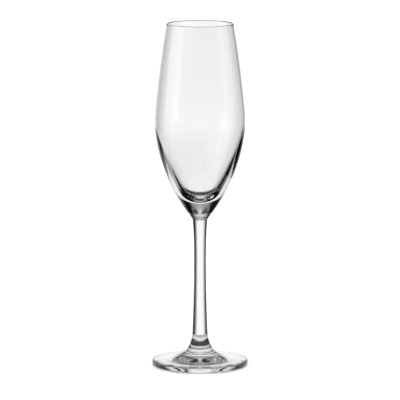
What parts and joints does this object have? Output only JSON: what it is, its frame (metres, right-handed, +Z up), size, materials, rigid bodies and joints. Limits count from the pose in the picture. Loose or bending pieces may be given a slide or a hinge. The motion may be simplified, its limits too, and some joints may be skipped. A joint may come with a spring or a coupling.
{
  "type": "champagne flute",
  "caption": "Clear glass champagne flute: tall bowl with a low belly tapering to a narrow mouth, on a collar, a slim drawn stem and a round disc foot.",
  "frame": {"origin": "centre of the ring that the foot rests on, at the level of the table", "axes": "+Z up along the stem towards the mouth; the shape is turned about Z, so X and Y are alike"},
  "size_m": [0.0626, 0.0626, 0.225],
  "materials": {
    "bowl_glass": "clear blown glass, fire-polished and smooth inside and out",
    "collar_glass": "clear pressed glass, fire-polished",
    "stem_glass": "clear drawn glass, smooth along its length",
    "foot_glass": "clear pressed glass, fire-polished"
  },
  "bodies": {
    "root": {"bowl": "bowl_glass", "collar": "collar_glass", "stem": "stem_glass", "foot": "foot_glass"}
  },
  "joints": []
}
